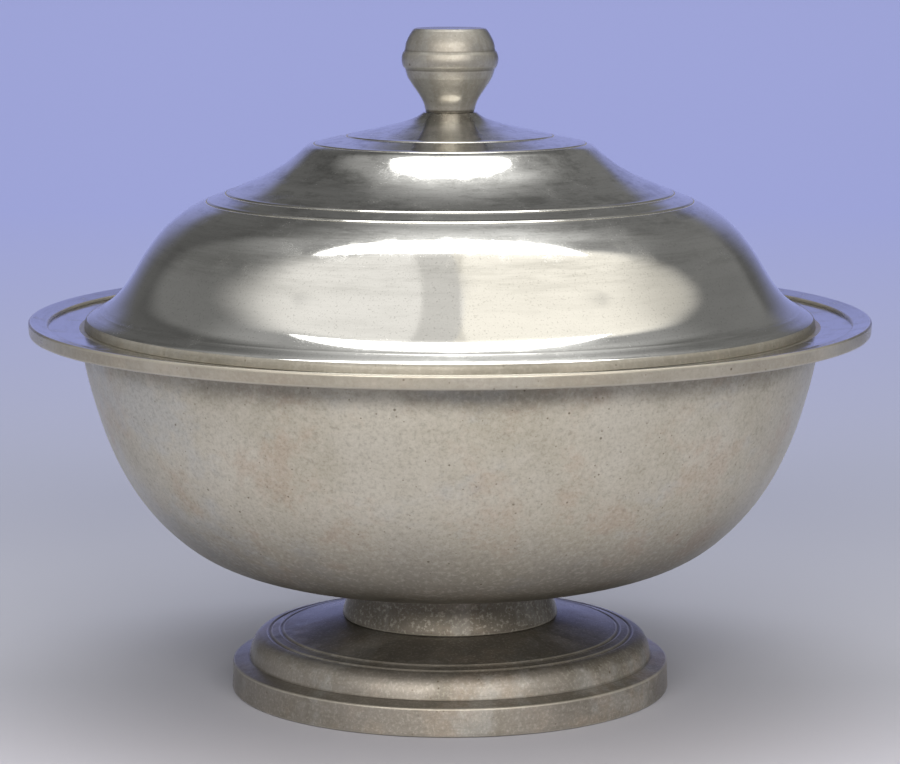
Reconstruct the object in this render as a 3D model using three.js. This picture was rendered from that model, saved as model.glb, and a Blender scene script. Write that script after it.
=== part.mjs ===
// A covered casserole dish on a turned foot, in pewter.
// Every piece is turned round one upright axis, so each is an outline revolved about it.
// Lengths are in millimetres, Z is up, and Z = 0 is the surface that the foot stands on.
import * as THREE from 'three';

// Fits between the pieces: faces that are soldered, clamped or rest on each other,
// the screw in its holes, and the bezel in the bowl's mouth
const seatGap = 0.3;
const screwClearance = 0.3;
const bezelClearance = 1.0;

// Foot: a spun plate, open underneath, with a band, a ledge, a shoulder and a shallow cone
const footRadius = 70.3;
const footWall = 2.4;
const footBandHeight = 8.9;
const footBandTaper = 0.35;
const footEdgeRound = 0.7;
const footLedgeWidth = 5.3;
const footLedgeRise = 1.2;
const footShoulderWidth = 6.4;
const footShoulderRise = 7.6;
const footConeRise = 5.0;
const footRingSpacing = 3.9;

// Collar: the conical ring that carries the bowl on the foot
const collarFootRadius = 34.7;
const collarTaper = 2.2;
const collarHeight = 13.2;
const collarWall = 3.0;
const collarEdgeRound = 0.8;

// Bowl: a deep bowl with a thickened mouth and a flat brim turned out of it
const mouthRadius = 113.8;
const mouthWall = 3.4;
const mouthLipHeight = 5.0;
const mouthEdgeRound = 0.6;
const bowlDepth = 80.3;
const bowlWall = 2.0;
const brimWidth = 16.15;
const brimThickness = 1.8;
const brimRise = 0.9;
const brimFillet = 1.4;

// Border: the thick ring soldered over the brim's edge
const borderWidth = 6.2;
const borderHeight = 4.2;
const borderStep = 1.0;
const borderRebate = 3.0;
const borderTaper = 0.3;
const borderEdgeRound = 0.9;

// Lid: a stepped dome with two pairs of scored rings and a rounded flange
const lidOverlap = 2.8;
const lidRise = 66.7;
const lidWall = 1.6;
const lidCrownRadius = 11.5;
const lidCrownThickness = 4.0;
const lidFlangeWidth = 7.6;

// Bezel: the ring under the lid that drops into the bowl's mouth
const bezelDepth = 7.0;
const bezelWall = 1.8;
const bezelLeadIn = 0.8;

// Scored rings: shallow V-shaped grooves cut with the point of a turning tool
const ringWidth = 1.0;
const ringDepth = 0.4;

// Knob: a solid casting with a raised belt and a blind hole from below
const knobRadius = 15.25;
const knobHeight = 26.3;
const knobTopRadius = 11.0;
const knobHoleDepth = 13.0;
const beltStep = 0.7;
const beltCrown = 0.2;
const beltBottom = 13.6;
const beltHeight = 5.6;

// Screw and washer: they clamp the knob from inside the lid
const screwRadius = 2.1;
const screwReach = 11.5;
const screwHeadRadius = 4.2;
const screwHeadHeight = 2.4;
const screwEdgeRound = 0.5;
const washerRadius = 7.0;
const washerThickness = 0.9;

// Radii that follow the bowl's mouth and the collar's foot
const bowlRadius = mouthRadius + mouthWall;
const brimRadius = bowlRadius + brimWidth;
const lidRadius = mouthRadius + lidOverlap;
const collarTopRadius = collarFootRadius - collarTaper;

// Where rings are scored on the lid, in shares of its radius, from the knob outwards
const lidRingShares = [0.2796, 0.3688, 0.6081, 0.6604];

// Outlines, in shares of the piece's radius and of its height
const bowlShares = [
  [0, 0], [0.16, 0.001], [0.3, 0.0075], [0.427, 0.025], [0.53, 0.051], [0.617, 0.087],
  [0.7, 0.146], [0.776, 0.235], [0.841, 0.344], [0.895, 0.472], [0.932, 0.595],
  [0.9605, 0.721], [0.983, 0.846], [1, 0.97],
];
const lidNeckShares = [
  [0.072, 1], [0.0931, 0.9745], [0.129, 0.952], [0.19, 0.9255], [0.28, 0.892], [0.37, 0.8555],
];
const lidSkirtShares = [
  [0.37, 0.8555], [0.3835, 0.848], [0.397, 0.83], [0.419, 0.797], [0.449, 0.756],
  [0.4825, 0.72], [0.5355, 0.675], [0.608, 0.624],
];
const lidShoulderShares = [
  [0.608, 0.624], [0.6585, 0.5885], [0.7165, 0.536], [0.7685, 0.4655], [0.814, 0.372],
  [0.8435, 0.294], [0.8722, 0.2105],
];
const lidFlareShares = [
  [0.8722, 0.2105], [0.885, 0.181], [0.9, 0.147], [0.9195, 0.1155], [0.9511, 0.081],
];
const lidFlangeShares = [
  [0.9511, 0.081], [0.9645, 0.0705], [0.9785, 0.0535], [0.989, 0.0315], [1, 0.006],
];
const knobLowerShares = [
  [0.551, 0], [0.546, 0.03], [0.557, 0.08], [0.617, 0.167], [0.71, 0.25], [0.813, 0.335],
  [0.906, 0.425],
];
const knobUpperShares = [
  [0.955, 0.745], [0.934, 0.802], [0.863, 0.893], [0.773, 0.975],
];

// Flat sides round each turned piece
const wideSides = 48;
const footSides = 40;
const narrowSides = 24;

// Finishes
const brightPewter = { color: 0x8d8e89, roughness: 0.16, metalness: 1 };
const satinPewter = { color: 0x86837b, roughness: 0.42, metalness: 1 };
const castPewter = { color: 0x8f8b80, roughness: 0.34, metalness: 1 };
const plainBrass = { color: 0xa98c4e, roughness: 0.35, metalness: 1 };

// A point of an outline: its distance from the axis and its height
function point(radius, height) {
  return new THREE.Vector2(radius, height);
}

// A smooth line through a table of shares
function curve(shares, radius, height, steps) {
  const knots = shares.map(([r, h]) => point(r * radius, h * height));
  return new THREE.SplineCurve(knots).getPoints(steps);
}

// A bend from one point to another, drawn towards the corner between them
function bend(start, corner, end, steps) {
  return new THREE.QuadraticBezierCurve(start, corner, end).getPoints(steps);
}

// The line at a given distance to the left of an open line, mitred at its corners
function parallel(line, distance) {
  return line.map((here, i) => {
    const before = line[Math.max(i - 1, 0)];
    const after = line[Math.min(i + 1, line.length - 1)];
    const out = (after === here ? here.clone().sub(before) : after.clone().sub(here)).normalize();
    const into = (before === here ? out.clone() : here.clone().sub(before)).normalize();
    const along = into.clone().add(out).normalize();
    const normal = point(-along.y, along.x);
    return here.clone().addScaledVector(normal, distance / along.dot(out));
  });
}

// The height of an outline at a radius that it crosses once
function heightAt(line, radius) {
  const i = line.findIndex((p, k) => k > 0 && (p.x - radius) * (line[k - 1].x - radius) <= 0);
  const [a, b] = [line[i - 1], line[i]];
  return a.y + ((b.y - a.y) * (radius - a.x)) / (b.x - a.x);
}

// The same outline with a V-shaped ring scored into it at each radius
function scored(line, radii) {
  return radii.reduce((outline, radius) => {
    const groove = [radius - ringWidth / 2, radius, radius + ringWidth / 2];
    const valley = groove.map((r) => point(r, heightAt(outline, r)));
    valley[1].y -= ringDepth;
    const inward = outline[0].x > outline[outline.length - 1].x;
    const before = outline.filter((p) => (inward ? p.x > groove[2] : p.x < groove[0]));
    const after = outline.filter((p) => (inward ? p.x < groove[0] : p.x > groove[2]));
    return [...before, ...(inward ? valley.reverse() : valley), ...after];
  }, line);
}

// A solid turned from an outline that starts and ends on the axis
function turned(outline, sides) {
  return new THREE.LatheGeometry(outline, sides).rotateX(Math.PI / 2);
}

// A ring turned from an outline that closes on itself
function turnedRing(outline, sides) {
  return turned([...outline, outline[0].clone()], sides);
}

function piece(name, geometry, finish, height) {
  const mesh = new THREE.Mesh(geometry, new THREE.MeshStandardMaterial(finish));
  mesh.name = name;
  mesh.position.z = height;
  return mesh;
}

// Stations where the foot's mouldings meet
const bandTop = point(footRadius - footBandTaper, footBandHeight);
const ledgeTop = point(bandTop.x - footLedgeWidth, bandTop.y + footLedgeRise);
const shoulderTop = point(ledgeTop.x - footShoulderWidth, ledgeTop.y + footShoulderRise);
const coneSlope = footConeRise / (shoulderTop.x - collarFootRadius);
const bore = collarFootRadius - collarWall;

function coneHeight(radius) {
  return shoulderTop.y + (shoulderTop.x - radius) * coneSlope;
}

// The bowl's outside, and the level at which its lowest point lies over the foot
const bowlOutside = curve(bowlShares, bowlRadius, bowlDepth, 18);
const bowlLevel = coneHeight(collarFootRadius) + collarHeight - heightAt(bowlOutside, collarTopRadius);

// The brim's upper face: flat where the lid rests, then rising to the edge
function brimTop(radius) {
  const outwards = Math.max(radius - bowlRadius, 0) / (brimRadius - bowlRadius);
  return bowlDepth + brimThickness + brimRise * outwards;
}

// Levels of the lid and of the knob's foot
const lidLevel = bowlLevel + brimTop(mouthRadius) + seatGap;
const knobLevel = lidLevel + lidRise + seatGap;

// Foot: the outside from the standing edge up to the bore, the inside parallel to it
function footGeometry() {
  const standing = point(footRadius, 0);
  const edge = bend(point(footRadius - footEdgeRound, 0), standing, point(footRadius, footEdgeRound), 2);
  const corner = point(ledgeTop.x - footEdgeRound, shoulderTop.y);
  const shoulder = bend(ledgeTop, corner, shoulderTop, 6);
  const boreTop = point(bore, coneHeight(bore));
  const rings = [shoulderTop.x, shoulderTop.x - footRingSpacing];
  const outside = [...edge, bandTop, ...scored([...shoulder, boreTop], rings)];
  const plain = [standing, bandTop, ledgeTop, shoulder[2], shoulder[4], boreTop];
  const inside = parallel(plain, footWall);
  inside[0].y = 0;
  inside[inside.length - 1].x = bore;
  return turnedRing([...outside, ...inside.reverse()], footSides);
}

// Collar: it sits on the foot's cone, and its top follows the bowl's underside
function collarGeometry() {
  const seat = (radius) => coneHeight(radius) + seatGap;
  const underside = (radius) => bowlLevel + heightAt(bowlOutside, radius) - seatGap;
  const boreTop = point(collarTopRadius - collarWall, underside(collarTopRadius - collarWall));
  const edge = point(collarFootRadius - collarEdgeRound, seat(collarFootRadius - collarEdgeRound));
  const foot = point(collarFootRadius, seat(collarFootRadius) + collarEdgeRound);
  const top = point(collarTopRadius, underside(collarTopRadius));
  const flare = bend(foot, point(collarTopRadius, (foot.y + top.y) / 2), top, 4);
  return turnedRing([point(bore, seat(bore)), edge, ...flare, boreTop], footSides);
}

// Bowl: outside, fillet, brim, seat for the lid, thickened mouth and inside
function bowlGeometry() {
  const brimEdge = brimRadius - borderRebate;
  const fillet = point(bowlRadius + brimFillet, brimTop(bowlRadius + brimFillet) - brimThickness);
  const lipBottom = point(mouthRadius, brimTop(mouthRadius) - mouthLipHeight);
  const inside = parallel(curve(bowlShares, bowlRadius, bowlDepth, 13), bowlWall);
  inside[0].x = 0;
  const brim = [
    fillet,
    point(brimEdge, brimTop(brimEdge) - brimThickness),
    point(brimEdge, brimTop(brimEdge)),
    point(bowlRadius, brimTop(bowlRadius)),
    point(mouthRadius + mouthEdgeRound, brimTop(mouthRadius)),
    point(mouthRadius, brimTop(mouthRadius) - mouthEdgeRound),
    lipBottom,
  ];
  const wall = inside.filter((p) => p.y < lipBottom.y - mouthEdgeRound);
  return turned([...bowlOutside, ...brim, ...wall.reverse()], wideSides);
}

// Border: a raised ring with a rebate below that takes the edge of the brim
function borderGeometry() {
  const inner = brimRadius - borderWidth;
  const rebate = brimRadius - borderRebate + seatGap;
  const top = bowlDepth + borderHeight;
  const edgeFoot = point(brimRadius, top - borderEdgeRound);
  const edgeTop = point(brimRadius - borderEdgeRound, top);
  return turnedRing([
    point(rebate, bowlDepth),
    point(brimRadius - borderTaper, bowlDepth),
    ...bend(edgeFoot, point(brimRadius, top), edgeTop, 3),
    point(inner, brimTop(inner) + borderStep),
    point(inner, brimTop(inner) + seatGap),
    point(rebate, brimTop(rebate) + seatGap),
  ], wideSides);
}

// Lid: stepped dome outside, wall of even thickness inside, thick crown under the knob
function lidGeometry() {
  const part = (shares, steps) => curve(shares, lidRadius, lidRise, steps);
  const hole = screwRadius + screwClearance;
  const crown = lidRise - lidCrownThickness;
  const flangeInside = lidRadius - lidFlangeWidth;
  const neck = part(lidNeckShares, 6);
  const skirt = part(lidSkirtShares, 8).slice(1);
  const shoulder = part(lidShoulderShares, 8).slice(1);
  const flare = part(lidFlareShares, 4).slice(1);
  const flange = part(lidFlangeShares, 4).slice(1);
  const rings = lidRingShares.map((share) => share * lidRadius);
  const outside = scored([...neck, ...skirt, ...shoulder, ...flare, ...flange], rings);
  const plain = [
    ...part(lidNeckShares, 3),
    ...part(lidSkirtShares, 6).slice(1),
    ...part(lidShoulderShares, 6).slice(1),
    ...part(lidFlareShares, 4).slice(1),
  ];
  const inside = parallel(plain, -lidWall).filter((p) => p.x > lidCrownRadius && p.x < flangeInside);
  return turnedRing([
    point(hole, crown),
    point(lidCrownRadius, crown),
    ...inside,
    point(flangeInside, 0),
    point(outside[outside.length - 1].x, 0),
    ...outside.reverse(),
    point(hole, lidRise),
  ], wideSides);
}

// Bezel: a plain ring under the flange, with a lead-in at its lower edge
function bezelGeometry() {
  const outer = mouthRadius - bezelClearance;
  return turnedRing([
    point(outer - bezelWall, -bezelDepth),
    point(outer - bezelLeadIn, -bezelDepth),
    point(outer, bezelLeadIn - bezelDepth),
    point(outer, -seatGap),
    point(outer - bezelWall, -seatGap),
  ], wideSides);
}

// Knob: waisted foot, raised belt and a flat top with a rounded edge
function knobGeometry() {
  const hole = screwRadius + screwClearance;
  const beltTop = beltBottom + beltHeight;
  const belt = [
    point(knobRadius - beltStep, beltBottom),
    point(knobRadius - beltCrown, beltBottom + beltCrown),
    point(knobRadius, (beltBottom + beltTop) / 2),
    point(knobRadius - beltCrown, beltTop - beltCrown),
    point(knobRadius - beltStep, beltTop),
  ];
  return turned([
    point(0, knobHoleDepth),
    point(hole, knobHoleDepth),
    point(hole, 0),
    ...curve(knobLowerShares, knobRadius, knobHeight, 7),
    ...belt,
    ...curve(knobUpperShares, knobRadius, knobHeight, 4),
    point(knobTopRadius, knobHeight),
    point(0, knobHeight),
  ], narrowSides);
}

// Washer and screw, measured down from the underside of the lid's crown
function washerGeometry() {
  const hole = screwRadius + screwClearance;
  return turnedRing([
    point(hole, -washerThickness),
    point(washerRadius, -washerThickness),
    point(washerRadius, 0),
    point(hole, 0),
  ], narrowSides);
}

function screwGeometry(length) {
  return turned([
    point(0, -screwHeadHeight),
    point(screwHeadRadius - screwEdgeRound, -screwHeadHeight),
    point(screwHeadRadius, screwEdgeRound - screwHeadHeight),
    point(screwHeadRadius, 0),
    point(screwRadius, 0),
    point(screwRadius, length - screwEdgeRound),
    point(screwRadius - screwEdgeRound, length),
    point(0, length),
  ], narrowSides);
}

// The dish: what stands on the table
const dish = new THREE.Group();
dish.add(
  piece('foot', footGeometry(), satinPewter, 0),
  piece('foot_collar', collarGeometry(), satinPewter, 0),
  piece('bowl', bowlGeometry(), satinPewter, bowlLevel),
  piece('brim_ring', borderGeometry(), brightPewter, bowlLevel),
);

// The cover: what lifts off in one, with the knob screwed on from inside
const washerLevel = lidLevel + lidRise - lidCrownThickness - seatGap;
const screwLevel = washerLevel - washerThickness - seatGap;
const cover = new THREE.Group();
cover.add(
  piece('lid', lidGeometry(), brightPewter, lidLevel),
  piece('lid_bezel', bezelGeometry(), brightPewter, lidLevel),
  piece('knob', knobGeometry(), castPewter, knobLevel),
  piece('knob_washer', washerGeometry(), plainBrass, washerLevel),
  piece('knob_screw', screwGeometry(knobLevel + screwReach - screwLevel), plainBrass, screwLevel),
);

const casserole = new THREE.Group();
casserole.add(dish, cover);
export default casserole;
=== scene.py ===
# %% [markdown]
# # A covered casserole dish in old pewter
# The real dish is soft grey metal, cast and spun thick, then turned in a lathe.
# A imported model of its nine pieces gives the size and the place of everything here.
# This lesson turns each piece again as a much finer surface, gives each its finish,
# and lights it as a studio table would be lit.
# Lengths are written in millimetres, because a maker reads them so, and become metres
# at the moment a mesh is made. The dish stands on Z = 0 and is round about the Z axis.

import bpy
import numpy as np
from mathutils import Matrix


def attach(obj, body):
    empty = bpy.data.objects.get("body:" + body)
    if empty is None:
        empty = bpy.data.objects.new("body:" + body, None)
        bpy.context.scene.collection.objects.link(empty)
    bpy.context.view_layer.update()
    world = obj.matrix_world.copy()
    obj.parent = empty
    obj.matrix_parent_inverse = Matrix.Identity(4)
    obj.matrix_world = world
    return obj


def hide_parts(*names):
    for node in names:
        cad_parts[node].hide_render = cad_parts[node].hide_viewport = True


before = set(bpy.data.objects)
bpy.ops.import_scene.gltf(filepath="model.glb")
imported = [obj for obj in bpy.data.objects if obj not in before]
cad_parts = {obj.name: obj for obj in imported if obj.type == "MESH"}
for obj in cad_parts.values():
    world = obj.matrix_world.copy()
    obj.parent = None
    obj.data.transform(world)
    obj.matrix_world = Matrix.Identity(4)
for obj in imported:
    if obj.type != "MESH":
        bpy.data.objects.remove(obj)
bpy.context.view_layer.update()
print("pieces in the packed model:", ", ".join(sorted(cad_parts)))

# %% [markdown]
# ## Smooth lines
# Every piece is round, so a piece is known once its outline is known: a line of radius
# and height. A lathe hand works with three kinds of line, and the first is a template
# curve that passes smoothly through stations. A cubic spline bends least between them,
# as a thin strip of wood does when it is held at nails.

# %% A template curve
def through(stations, count):
    """A template curve through stations of radius and height.
    Both follow natural cubic splines of the distance along the straight chords. The second
    derivatives at the stations solve one linear system, and on each chord the value is
    (Ma b^3 + Mb a^3) / 6h + (Pa / h - Ma h / 6) b + (Pb / h - Mb h / 6) a."""
    p = np.asarray(stations, float)
    chord = np.hypot(*np.diff(p, axis=0).T)
    at = np.r_[0, np.cumsum(chord)]
    inner = np.arange(1, len(p) - 1)
    system = np.eye(len(p))
    system[inner, inner] = 2 * (chord[:-1] + chord[1:])
    system[inner, inner - 1] = chord[:-1]
    system[inner, inner + 1] = chord[1:]
    jumps = np.zeros_like(p)
    jumps[1:-1] = 6 * np.diff(np.diff(p, axis=0) / chord[:, None], axis=0)
    m = np.linalg.solve(system, jumps)
    t = np.linspace(0, at[-1], count)
    k = np.clip(np.searchsorted(at, t, side="right") - 1, 0, len(p) - 2)
    h, a, b = chord[k, None], (t - at[k])[:, None], (at[k + 1] - t)[:, None]
    cubic = (m[k] * b**3 + m[k + 1] * a**3) / (6 * h)
    return cubic + (p[k] / h - m[k] * h / 6) * b + (p[k + 1] / h - m[k + 1] * h / 6) * a


print("half way from (0, 0) over (10, 2) to (20, 0):", through([(0, 0), (10, 2), (20, 0)], 3)[1].round(2))

# %% [markdown]
# ## Eased corners
# The second kind of line is a row of corners. Each is eased, because a sharp corner on
# metal would be a burr, and because a rounded edge catches a line of light, which is how
# the eye finds it. A short parabola does this with three points of control.

# %% Eased corners
def eased(corners, cut, closed=False, steps=7):
    """A line whose corners are eased.
    Each corner C gives way to (1-t)^2 A + 2t(1-t) C + t^2 B, where A and B lie a cut before
    and after it, and the cut is never more than 0.48 of the shorter side that meets there."""
    p = np.asarray(corners, float)
    before, after = np.roll(p, 1, axis=0) - p, np.roll(p, -1, axis=0) - p
    long_before, long_after = np.hypot(*before.T), np.hypot(*after.T)
    reach = np.minimum(np.broadcast_to(cut, len(p)), 0.48 * np.minimum(long_before, long_after))
    a = p + before * (reach / long_before)[:, None]
    b = p + after * (reach / long_after)[:, None]
    t = np.linspace(0, 1, steps)[None, :, None]
    bends = (1 - t) ** 2 * a[:, None] + 2 * t * (1 - t) * p[:, None] + t**2 * b[:, None]
    if closed:
        return np.vstack([bends.reshape(-1, 2), bends[0, :1]])
    return np.vstack([p[:1], bends[1:-1].reshape(-1, 2), p[-1:]])


print("a corner of 10 mm eased by 2 mm:", eased([(0, 0), (10, 0), (10, 10)], 2.0).round(1)[1:3])

# %% [markdown]
# ## A line by its slope
# The third kind is for polished metal. There the eye does not see the outline but what it
# reflects, and that depends on the slope alone. So the spun cover is drawn by its slope at
# stations along it, and its height follows from that.

# %% A line by its slope
def sloping(start, stations, soften=2.0, step=0.1):
    """A spun curve from stations of distance along it and slope in degrees.
    Slopes between stations are in proportion, then averaged over a bell-shaped window, and
    the line is the running sum of the cosine and sine of the slope."""
    at, slopes = np.asarray(stations, float).T
    s = np.arange(0, at[-1], step) + step / 2
    bell = np.hanning(int(round(soften / step)) + 1)
    pad = len(bell) // 2
    raw = np.interp(s, at, slopes)
    raw = np.r_[np.full(pad, raw[0]), raw, np.full(pad, raw[-1])]
    turn = np.radians(np.convolve(raw, bell / bell.sum(), "valid")[:len(s)])
    return np.vstack([start, start + np.cumsum(np.c_[np.cos(turn), np.sin(turn)] * step, axis=0)])


def beside(line, distance):
    """The line at a distance to the left of another: each point moves along (-dz, dr) / ds."""
    d = np.gradient(line, axis=0)
    return line + distance * np.c_[-d[:, 1], d[:, 0]] / np.hypot(*d.T)[:, None]


print("10 mm down a slope of 30 degrees ends at", sloping(np.zeros(2), [[0, -30], [10, -30]])[-1].round(2))

# %% [markdown]
# ## Rows and scored rings
# A fine line has far more points than a mesh needs on its straight runs. Rows are
# therefore laid out by length plus turning, so that they crowd together in the bends.
# A scored ring is a hollow pressed into the line, with a slight burr at each lip, as the
# point of a tool leaves it.

# %% Rows and scored rings
def rows(line, count, turning=9.0):
    """The same line with so many points, even in length + turning x angle turned in radians."""
    d = np.diff(line, axis=0)
    length = np.hypot(*d.T)
    keep = np.r_[True, length > 1e-6]
    line, d, length = line[keep], d[keep[1:]], length[keep[1:]]
    angle = np.unwrap(np.arctan2(d[:, 1], d[:, 0]))
    bend = np.abs(np.diff(angle, prepend=angle[0])) + np.abs(np.diff(angle, append=angle[-1]))
    along = np.r_[0, np.cumsum(length + turning * bend / 2)]
    at = np.linspace(0, along[-1], count)
    return np.c_[np.interp(at, along, line[:, 0]), np.interp(at, along, line[:, 1])]


def scored(line, radii, depth, width, lip=0.06):
    """The line with rings scored into it: at distance x from a ring's radius the height
    drops by depth e^-(2x/width)^2 and rises by lip e^-(3(|x|-width)/width)^2."""
    x = np.abs(line[:, :1] - np.asarray(radii, float)[None, :])
    cut = -depth * np.exp(-((2 * x / width) ** 2)) + lip * np.exp(-((3 * (x - width) / width) ** 2))
    return np.c_[line[:, 0], line[:, 1] + cut.sum(1)]


print("a bend of three points in five rows:", rows(np.array([[0, 0], [10, 0], [10, 10]]), 5).round(1).tolist())

# %% [markdown]
# ## Marks of the lathe and of wear
# Spun metal is never quite true, so a few slow waves move its radius by less than a tenth
# of a millimetre, which is enough to make a reflection tremble. Where an outline turns, the
# finishes paint a highlight on edges and shade in hollows, and edges are also rubbed
# smoother. So each point of a piece carries how sharply the outline turns there, for its
# finish to use later.

# %% Marks of the lathe and of wear
def rippled(radius, height, angle, uneven, seed):
    """Radii moved by uneven times the mean of eight waves sin(k a + 6.28 z / u + phase), with k
    from 2 to 8 round the piece and u from 20 to 60 mm. Within 20 mm of the axis they fade."""
    draw = np.random.default_rng(seed)
    around, up, phase = draw.integers(2, 9, 8), draw.uniform(20, 60, 8), draw.uniform(0, 6.28, 8)
    waves = np.sin(around * angle[None, :, None] + height[:, :, None] / up * 6.28 + phase)
    return radius + uneven * waves.mean(2) * np.minimum(radius / 20, 1)


def creased(line):
    """How far an outline turns at each point in radians per mm, which is the angle between
    the sides that meet there over half their length together: above nought on an edge and
    below it in a hollow. The second result is the distance along the outline."""
    d = np.roll(line, -1, axis=0) - line
    length = np.hypot(*d.T)
    heading = np.arctan2(d[:, 1], d[:, 0])
    turn = (heading - np.roll(heading, 1) + np.pi) % (2 * np.pi) - np.pi
    return turn * 2 / (length + np.roll(length, 1)), np.r_[0, np.cumsum(length)[:-1]]


square = np.array([[1, 0], [2, 0], [2, 1], [1, 1]])
print("a square of 1 mm turns by this much at each corner:", creased(square)[0].round(2))

# %% [markdown]
# ## From a line to a solid
# A lathe makes a solid by turning an outline about an axis, and the mesh is made the same
# way: each row is copied round in even steps, and four neighbours make a face. An outline
# that starts and ends on the axis closes there in one point, and a closed outline makes a
# ring. Whole arrays are used at once, so even a fine surface takes no time.

# %% From a line to a solid
def skin(n, sides, closed):
    """The faces over n rows of points, and which point each row and side has. Face (i, j) is
    (i, j), (i, j+1), (i+1, j+1), (i+1, j). On the axis a row is one point, so two corners of
    a face are the same there and one of them is left out."""
    i, j = np.arange(n if closed else n - 1)[:, None], np.arange(sides)[None, :]
    point = np.arange(n * sides).reshape(n, sides)
    if not closed:
        point = np.clip(point - sides + 1, 0, (n - 2) * sides + 1)
    next_i, next_j = (i + 1) % n, (j + 1) % sides
    quads = np.stack([point[i, j], point[i, next_j], point[next_i, next_j], point[next_i, j]], -1)
    faces = quads.reshape(-1, 4).tolist()
    if not closed:
        faces[:sides] = quads[0][:, [0, 2, 3]].tolist()
        faces[-sides:] = quads[-1][:, :3].tolist()
    return faces


def turned(name, line, sides, closed=False, uneven=0.0, seed=1):
    """A solid turned from an outline in mm: point (i, j) is (r_i cos a_j, r_i sin a_j, z_i).
    Each point carries its crease, and its distance along the outline in metres."""
    line = line[:-1] if closed else line
    angle = np.linspace(0, 2 * np.pi, sides, endpoint=False)
    height = np.repeat(line[:, 1:], sides, axis=1)
    radius = rippled(line[:, :1], line[:, 1:], angle, uneven, seed)
    grid = np.stack([radius * np.cos(angle), radius * np.sin(angle), height], -1) / 1000
    points = grid.reshape(-1, 3)
    marks = np.repeat(creased(line), sides, axis=1)
    if not closed:
        points = np.vstack([points[:1], points[sides:-sides], points[-sides:][:1]])
        marks = np.c_[marks[:, 0], marks[:, sides:-sides], marks[:, -1]]
        marks[0, [0, -1]] = 0
    mesh = bpy.data.meshes.new(name)
    mesh.from_pydata(points.tolist(), [], skin(len(line), sides, closed))
    mesh.polygons.foreach_set("use_smooth", np.ones(len(mesh.polygons), bool))
    for mark, values in [("crease", marks[0]), ("along", marks[1] / 1000)]:
        mesh.attributes.new(mark, "FLOAT", "POINT").data.foreach_set("value", values)
    mesh.validate()
    piece = bpy.data.objects.new(name, mesh)
    bpy.context.collection.objects.link(piece)
    print(f"{name}: {len(line)} rows, {sides} sides, {len(mesh.polygons)} faces")
    return piece


# %% [markdown]
# ## The place of a piece
# In the imported model each piece belongs to a body that can move, and has a slot that names
# its metal. A finer piece takes the place of the imported one and rides on the same body,
# so that the cover can still be lifted off.

# %% The place of a piece
def place(piece, body, node, slot):
    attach(piece, body)
    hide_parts(node)
    print(f"{piece.name} rides on {body} in place of {node}")

# %% [markdown]
# ## The foot
# The foot is a spun plate with its rim turned down into an upright band. Above the band
# come a narrow ledge, a round shoulder and a shallow cone, with two rings scored where
# they meet. It is hollow underneath, so the line runs up the outside and back inside.
# Corners suit it better than a template curve, because its parts are plain and short.

# %% The foot's stations
foot_radius, band_height, foot_wall = 70.3, 8.9, 2.4
collar_foot, collar_wall = 34.7, 3.0
bore = collar_foot - collar_wall
band = np.array([69.95, band_height])
ledge = band + [-5.3, 1.2]
shoulder = ledge + [-6.4, 7.6]
cone = 5.0 / (shoulder[0] - collar_foot)


def cone_height(radius):
    """The cone's height rises in proportion from the shoulder inwards."""
    return shoulder[1] + (shoulder[0] - radius) * cone


print("the cone rises", round(float(cone_height(collar_foot) - shoulder[1]), 2), "mm to the collar")

# %% Foot
t = np.linspace(0, 1, 9)[1:-1, None]
round_shoulder = (1 - t) ** 2 * ledge + 2 * t * (1 - t) * [ledge[0] - 0.5, shoulder[1]] + t**2 * shoulder
outside = [[foot_radius - foot_wall, 0], [foot_radius, 0], band, ledge, *round_shoulder, shoulder]
outside_cuts = [0.4, 0.7, 0.6, 0.5] + [0.7] * len(t) + [1.2]
inside = [
    [bore, cone_height(bore)], [bore, cone_height(bore) - foot_wall],
    [shoulder[0] - 1, shoulder[1] - foot_wall], [ledge[0] - 3.2, ledge[1] + 2],
    [ledge[0] - 3.4, ledge[1] - foot_wall], [band[0] - foot_wall, band[1] - foot_wall]]
inside_cuts = [0.3, 0.3, 2, 2, 1, 1]
foot_line = rows(eased(np.vstack([outside, inside]), outside_cuts + inside_cuts, closed=True), 700, 1.0)
on_top = (foot_line[:, 1] > cone_height(foot_line[:, 0]) - 1.5)[:, None]
foot_line = np.where(on_top, scored(foot_line, [58.25, 54.35], 0.42, 0.8), foot_line)
foot = turned("foot_turned", rows(foot_line, 210), 224, closed=True, uneven=0.05, seed=3)
place(foot, "dish", "foot", "satin_pewter")

# %% [markdown]
# ## The outline of the bowl
# The bowl was spun over a wooden form, so its outline is one free curve, nearly flat below
# and nearly upright at the mouth. Its stations are shares of its radius and depth, which
# keeps the form when the size changes.

# %% The outline of the bowl
collar_top, collar_top_height = 32.5, 35.9
bowl_radius, bowl_depth, bowl_wall = 117.2, 80.3, 2.0
bowl_shares = np.array([
    [0, 0], [0.16, 0.001], [0.3, 0.0075], [0.427, 0.025], [0.53, 0.051], [0.617, 0.087],
    [0.7, 0.146], [0.776, 0.235], [0.841, 0.344], [0.895, 0.472], [0.932, 0.595],
    [0.9605, 0.721], [0.983, 0.846], [1, 0.97],
])
bowl_outside = through(bowl_shares * [bowl_radius, bowl_depth], 400)
bowl_level = collar_top_height - np.interp(collar_top, *bowl_outside.T)
print("the bowl's lowest point is", round(bowl_level, 2), "mm up")

# %% [markdown]
# ## The collar
# The collar is a short cone between foot and bowl, soldered to both. Its foot is eased
# where the solder was filed off, and its top follows the underside of the bowl. A thin
# seam is left over the foot, because solder never quite hides one.

# %% Collar
seam, under_seam = 0.15, 0.1


def under_bowl(radius):
    """The collar's top, a seam below the bowl's outline."""
    return bowl_level + np.interp(radius, *bowl_outside.T) - under_seam


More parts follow.
